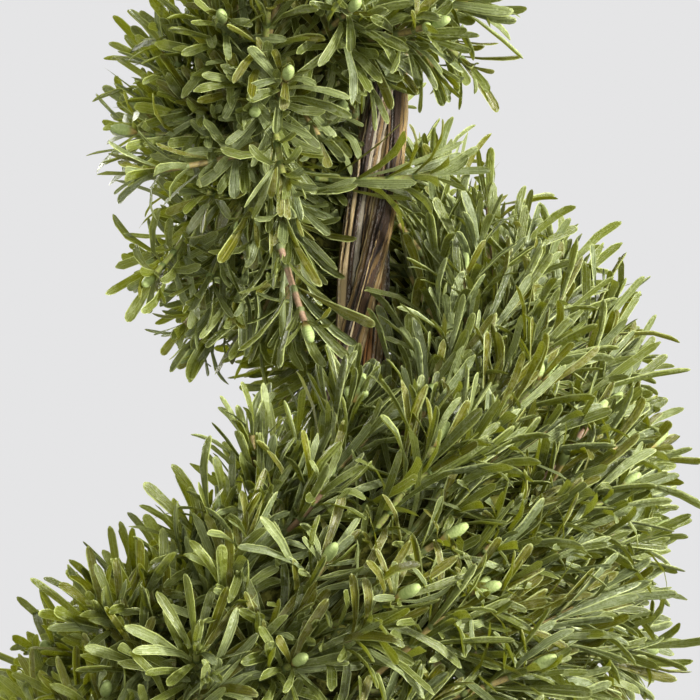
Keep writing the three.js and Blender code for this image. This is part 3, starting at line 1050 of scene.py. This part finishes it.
# single sprigs that stray out of the band: tip, heading, length and tone of the stem
strays = [
    ((0.044, -0.035, 0.772), (0.75, -0.1, -0.66), 0.050, "lime"),  # droops
    ((0.026, -0.032, 0.726), (0.95, -0.25, 0.12), 0.052, "lime"),  # crosses the trunk
    ((-0.028, -0.066, 0.662), (0.3, -0.45, -0.85), 0.036, "rose"),  # hangs
    ((-0.100, -0.040, 0.744), (-0.95, -0.2, 0.12), 0.046, "lime"),  # out of the rim
    ((-0.096, -0.055, 0.726), (-0.95, -0.25, -0.1), 0.046, "tan"),
    ((-0.084, -0.035, 0.786), (-0.85, -0.2, 0.5), 0.046, "lime"),
    ((0.004, -0.046, 0.769), (0.6, -0.45, -0.4), 0.044, "tan"),  # over the trunk
]
# tips of sprigs that stand up, four left of the trunk and four right of it
risers = [
    (-0.062, -0.085, 0.580),
    (-0.050, -0.070, 0.614),
    (-0.098, -0.050, 0.546),
    (-0.012, -0.064, 0.624),
    (0.029, -0.020, 0.700),
    (0.046, -0.026, 0.698),
    (0.041, -0.034, 0.682),
    (0.034, -0.038, 0.660),
]
riserHeading = Vector((-0.05, -0.2, 0.96))

masses = round((band["last"] - band["first"]) * band["massesPerTurn"])
for mass in range(masses):
    start = band["first"] + mass / band["massesPerTurn"]
    end = start + 1 / band["massesPerTurn"]
    growMass(start, end)
    growInside(start, end)
growEnd(band["first"], -1)
growEnd(band["last"], 1)
growTuft()
for tip, heading, length, tone in strays:
    growSprig(Vector(tip), Vector(heading), length, upper=0.8, leafShare=0.75, stemTone=tone)
for tip in risers:
    growSprig(Vector(tip), riserHeading, sprig["length"][0], upper=0.0)
leafCount = sum(len(copies) for pile in leafPiles.values() for copies in pile.copies.values())
print(f"{leafCount} leaves grown")


# finishes drawn on the map of leaves, stems and buds

def leafMaterial(name, colour):
    shader = newShader(name)
    across = shader.part("X", shader.spot())
    along = shader.part("Y", shader.spot())
    fromRib = abs(across * 2 - 1)
    # pale rim and tip: partly the leaf's own pale margin, partly painted highlight where the rim catches
    # light
    edge = shader.step(fromRib, 0.8, 0.93).over(shader.step(along, 0.96, 1.0))
    rib = 1 - shader.step(fromRib, 0.04, 0.14)
    # the grooves beside the rib and the band inside the rim are darkened below as painted shade of the
    # leaf's folds
    groove = shader.step(fromRib, 0.1, 0.2) * (1 - shader.step(fromRib, 0.26, 0.5))
    inside = shader.step(fromRib, 0.55, 0.7) * (1 - edge)
    place = shader.place()
    patches = shader.noise(place, 210, 2, 0.6)
    specks = shader.noise(place, 900, 3, 0.7)
    # pale specks: partly the leaf's own pale bloom, partly painted sheen
    bloomAndSheen = shader.step(patches + 0.8 * specks, 0.88, 1.1)
    lines = shader.add("ShaderNodeCombineXYZ", {0: across * 8, 1: along * 2.5, 2: patches * 9})
    streaks = shader.step(shader.noise(lines, 1.0, 2, 0.6), 0.46, 0.62)
    dark = tuple(0.42 * c for c in colour[:3]) + (1.0,)
    pale = tuple(lerp(1.25 * c, 0.6, 0.12) for c in colour[:3]) + (1.0,)
    foot = 1 - shader.step(along, 0.0, 0.22)
    # painted shade in the folds beside the rib and inside the rim
    shade = shader.mix(groove * 0.5 + inside * 0.75, colour, dark)
    # painted sheen over the blade, partly the leaf's own pale bloom
    shade = shader.mix(bloomAndSheen * 0.85, shade, pale)
    shade = shader.mix(streaks * 0.32, shade, dark)
    shade = shader.mix(rib * 0.5, shade, pale)
    # the pale rim: partly the leaf's margin, partly painted highlight
    shade = shader.mix(edge * 0.75, shade, paint(180, 190, 120))
    shade = shader.mix(foot * 0.6, shade, paint(92, 92, 36))
    sockets = {
        "Base Color": shade,
        "Roughness": 0.12 + 0.4 * specks,
        "Specular IOR Level": 0.55,
        "Normal": shader.bump(specks - rib * 0.5 - streaks * 0.4, 0.7, 0.0006),
    }
    front = shader.principled(sockets)
    through = shader.add("ShaderNodeBsdfTranslucent", {"Color": paint(150, 157, 22)})
    return shader.finish(shader.add("ShaderNodeMixShader", {0: 0.24, 1: front, 2: through}))


def stemMaterial(name, colour):
    shader = newShader(name)
    spot = shader.spot()
    along = shader.part("Y", spot)
    streaks = shader.noise(shader.stretched(spot, (6, 9, 1)), 1.0, 3)
    collar = 1 - shader.step(along, 0.26, 0.36)
    shade = shader.mix(shader.step(streaks, 0.4, 0.65) * 0.6, colour, paint(104, 84, 60))
    shade = shader.mix(collar * 0.85, shade, paint(92, 108, 58))
    relief = shader.bump(streaks, 0.3, 0.0005)
    return shader.surface({"Base Color": shade, "Roughness": 0.45 + 0.2 * streaks, "Normal": relief})


def budMaterial():
    shader = newShader("budSkin")
    spot = shader.spot()
    along = shader.part("Y", spot)
    scales = shader.noise(shader.stretched(spot, (8, 16, 1)), 1.0, 3)
    foot = 1 - shader.step(along, 0.2, 0.46)
    shade = shader.mix(shader.step(scales, 0.3, 0.7), paint(154, 168, 106), paint(130, 146, 80))
    shade = shader.mix(foot * 0.9, shade, paint(150, 124, 66))
    relief = shader.bump(scales, 0.4, 0.0006)
    return shader.surface({"Base Color": shade, "Roughness": 0.6, "Normal": relief})


def addFoliage(name, pile, material):
    addPiece(name, pile.mesh(name), material, "leaf", *foliageNodes)


for tone, (colour, _) in tones.items():
    addFoliage(f"leaves_{tone}", leafPiles[tone], leafMaterial(f"leaf_{tone}", colour))
for tone, (colour, _) in stemTones.items():
    addFoliage(f"sprig_stems_{tone}", stemPiles[tone], stemMaterial(f"stem_{tone}", colour))
addFoliage("sprig_buds", budPile, budMaterial())
print("foliage ready")


# the pot and what fills it

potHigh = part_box("pot")[1]
clayPot = {
    "height": potHigh.z,
    "rim": potHigh.x,
    "foot": 0.070,
    "wall": 0.007,
    "rimHeight": 0.032,
    "rimStep": 0.006,
    "floor": 0.009,
    "steps": 96,
    "edge": 0.0025,  # width of the rounding on its edges
}


def clayOutside(height):
    return lerp(clayPot["foot"], clayPot["rim"] - clayPot["rimStep"], height / clayPot["height"])


def potMesh(profile):
    bm = bmesh.new()
    verts = [bm.verts.new((radius, 0, height)) for radius, height in profile]
    edges = [bm.edges.new(pair) for pair in zip(verts, verts[1:])]
    circle = {"cent": (0, 0, 0), "axis": up, "angle": turn, "steps": clayPot["steps"]}
    bmesh.ops.spin(bm, geom=verts + edges, use_merge=True, use_duplicate=False, **circle)
    bmesh.ops.remove_doubles(bm, verts=bm.verts, dist=1e-5)
    bmesh.ops.recalc_face_normals(bm, faces=bm.faces)
    sharp = [edge for edge in bm.edges if len(edge.link_faces) == 2 and edge.calc_face_angle() > 0.5]
    rounding = {"offset": clayPot["edge"], "segments": 3, "profile": 0.5, "clamp_overlap": True}
    bmesh.ops.bevel(bm, geom=sharp, affect="EDGES", material=-1, **rounding)
    return meshOf(bm, "clayPot")


def clayMaterial():
    shader = newShader("firedClay")
    place = shader.place()
    clouds = shader.noise(place, 14, 4, 0.6)
    grit = shader.noise(place, 420, 3, 0.7)
    rings = shader.noise(shader.stretched(place, (1, 1, 90)), 3, 2)
    shade = shader.mix(shader.step(clouds, 0.35, 0.7), paint(170, 98, 66), paint(196, 124, 88))
    shade = shader.mix(shader.step(grit, 0.58, 0.72) * 0.35, shade, paint(128, 70, 46))
    shade = shader.mix(shader.step(clouds, 0.6, 0.8) * 0.25, shade, paint(222, 190, 166))
    sockets = {
        "Base Color": shade,
        "Roughness": 0.75 + 0.15 * clouds,
        "Normal": shader.bump(rings * 0.6 + grit * 0.4, 0.35, 0.0012),
    }
    return shader.surface(sockets)


def clayInside(height):
    return clayOutside(height) - clayPot["wall"]


rim, height, bottom = clayPot["rim"], clayPot["height"], clayPot["floor"]
rimFoot = height - clayPot["rimHeight"]
outside = [(0, 0), (clayPot["foot"], 0), (clayOutside(rimFoot), rimFoot), (rim, rimFoot + 0.002)]
inside = [(rim, height), (clayInside(height), height), (clayInside(bottom), bottom), (0, bottom)]
addPiece("clay_pot", potMesh(outside + inside), clayMaterial(), "clay", "pot")

fillLow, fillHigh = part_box("pot_filling")
soil = {
    "edge": 0.004,  # fall of the surface at the pot's wall, and width of its even edge
    "flat": 0.03,  # radius of the level middle
    "rough": 0.0022,
    "rings": 60,
    "gap": 0.0005,  # to the pot's wall
    "chips": 900,
    "chipSize": (0.0025, 0.0065),
    "chipFree": 0.024,  # radius without chips round the trunk
    "chipRim": 0.005,  # and width at the pot's wall
}


# height of the soil's surface at a distance from the middle
def soilLevel(radius):
    edge = fillHigh.z - soil["edge"]
    return lerp(fillHigh.z, edge, smooth(radius, soil["flat"], fillHigh.x))


# new edges inside the given ones, narrower by a share: their verts and the edges
def extruded(bm, edges, share):
    grown = bmesh.ops.extrude_edge_only(bm, edges=edges)["geom"]
    verts = [part for part in grown if isinstance(part, bmesh.types.BMVert)]
    bmesh.ops.scale(bm, verts=verts, vec=(share, share, 1))
    return verts, [part for part in grown if isinstance(part, bmesh.types.BMEdge)]


bm = bmesh.new()
bmesh.ops.create_circle(bm, cap_ends=False, radius=fillHigh.x, segments=96)
rim = inmost = bm.edges[:]
for ring in range(1, soil["rings"]):
    left = soil["rings"] - ring
    inmost = extruded(bm, inmost, left / (left + 1))[1]
bmesh.ops.holes_fill(bm, edges=inmost, sides=0)
for vert in bm.verts:
    radius = hypot(vert.co.x, vert.co.y)
    lumps = noise.fractal(vert.co * 90, 0.8, 2.0, 4)
    rough = soil["rough"] * (lumps - 0.4) * smooth(fillHigh.x - radius, 0, soil["edge"])
    vert.co.z = soilLevel(radius) + rough
# and down inside the pot's wall to its floor
foot, footEdges = extruded(bm, rim, (clayInside(fillLow.z) - soil["gap"]) / fillHigh.x)
for vert in foot:
    vert.co.z = fillLow.z
bmesh.ops.holes_fill(bm, edges=footEdges, sides=0)
bmesh.ops.recalc_face_normals(bm, faces=bm.faces)
shades = ((34, 25, 19), (84, 64, 48))
dark = grainMaterial("darkSoil", (260, 4, 0.7), (0.35, 0.7), *shades, 0.9, (0.9, 0.004))
addPiece("soil_top", meshOf(bm, "soilTop"), dark, "filling", "pot_filling")


def chipShape():
    bm = bmesh.new()
    bmesh.ops.create_cube(bm, size=2)
    bmesh.ops.subdivide_edges(bm, edges=bm.edges, cuts=1, use_grid_fill=True)
    for vert in bm.verts:
        vert.co = vert.co.normalized() * (1 + 0.3 * noise.noise(vert.co * 1.7))
        vert.co.z *= 0.45
    mapShape(bm, lambda place: (0.5 + 0.4 * place.x, 0.5 + 0.4 * place.y))
    return Shape(bm)


pile = Pile()
shape = chipShape()
for _ in range(soil["chips"]):
    radius = (fillHigh.x - soil["chipRim"]) * sqrt(draw.uniform(0, 1))
    around = draw.uniform(0, turn)
    if radius < soil["chipFree"]:
        continue
    x, y = radius * cos(around), radius * sin(around)
    root = Vector((x, y, soilLevel(radius) + 0.0005))
    along = Vector((*draw.uniform(-1, 1, 2), shaken(0.25))).normalized()
    size = between(soil["chipSize"]) / 2
    pile.add(shape, placed(root, along, up, size * draw.uniform(0.5, 0.9), size, size * 0.8))
shades = ((62, 44, 32), (122, 92, 64))
wood = grainMaterial("barkChip", (330, 3, 0.6), (0.35, 0.65), *shades, 0.85, (0.6, 0.001))
addPiece("soil_chips", pile.mesh("soilChips"), wood, "filling", "pot_filling")
print("pot ready")
